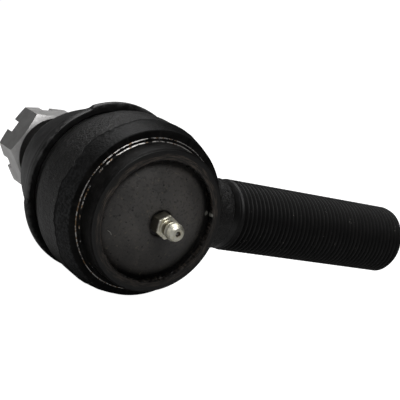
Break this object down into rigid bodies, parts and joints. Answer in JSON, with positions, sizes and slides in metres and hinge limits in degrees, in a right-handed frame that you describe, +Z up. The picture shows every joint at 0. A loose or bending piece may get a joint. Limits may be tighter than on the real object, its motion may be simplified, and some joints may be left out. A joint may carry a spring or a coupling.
{
  "type": "tie rod end",
  "caption": "Heavy-duty tie rod end: forged socket with a threaded shank, ball stud, rubber boot and castle nut.",
  "frame": {"origin": "centre of the ball, where the shank's axis crosses the stud's axis", "axes": "+X along the threaded shank, +Y along the stud towards the castle nut, +Z up with the shank and the stud level"},
  "size_m": [0.1719, 0.1231, 0.0678],
  "materials": {
    "black_forging": "satin black over a forged and turned surface",
    "cover_steel": "dull dark grey with a brown cast",
    "zinc_plate": "bright zinc plate, slightly yellow",
    "bearing_steel": "ground",
    "spring_steel": "oiled",
    "stud_steel": "turned",
    "nut_steel": "bare, fine grain",
    "boot_rubber": "matt moulded rubber"
  },
  "bodies": {
    "socket": {"socket_forging": "black_forging", "end_cover": "cover_steel", "grease_fitting": "zinc_plate", "fitting_check_ball": "bearing_steel", "fitting_check_spring": "spring_steel", "disc_spring": "spring_steel", "rear_race": "bearing_steel", "dust_boot": "boot_rubber", "boot_lip_ring": "spring_steel"},
    "pressure_seat": {"pressure_seat": "bearing_steel"},
    "half_ball": {"half_ball": "bearing_steel", "boot_neck_ring": "spring_steel"},
    "stud": {"ball_stud": "stud_steel", "castle_nut": "nut_steel"}
  },
  "joints": [
    {"name": "seat_turn", "type": "hinge", "parent": "socket", "child": "pressure_seat", "pos_m": [0, 0, 0], "axis": [0, 1, 0], "continuous": true},
    {"name": "stud_tilt", "type": "hinge", "parent": "pressure_seat", "child": "half_ball", "pos_m": [0, 0, 0], "axis": [1, 0, 0], "range_deg": [-20, 20], "deforming": ["dust_boot"]},
    {"name": "stud_spin", "type": "hinge", "parent": "half_ball", "child": "stud", "pos_m": [0, 0, 0], "axis": [0, 1, 0], "continuous": true}
  ]
}
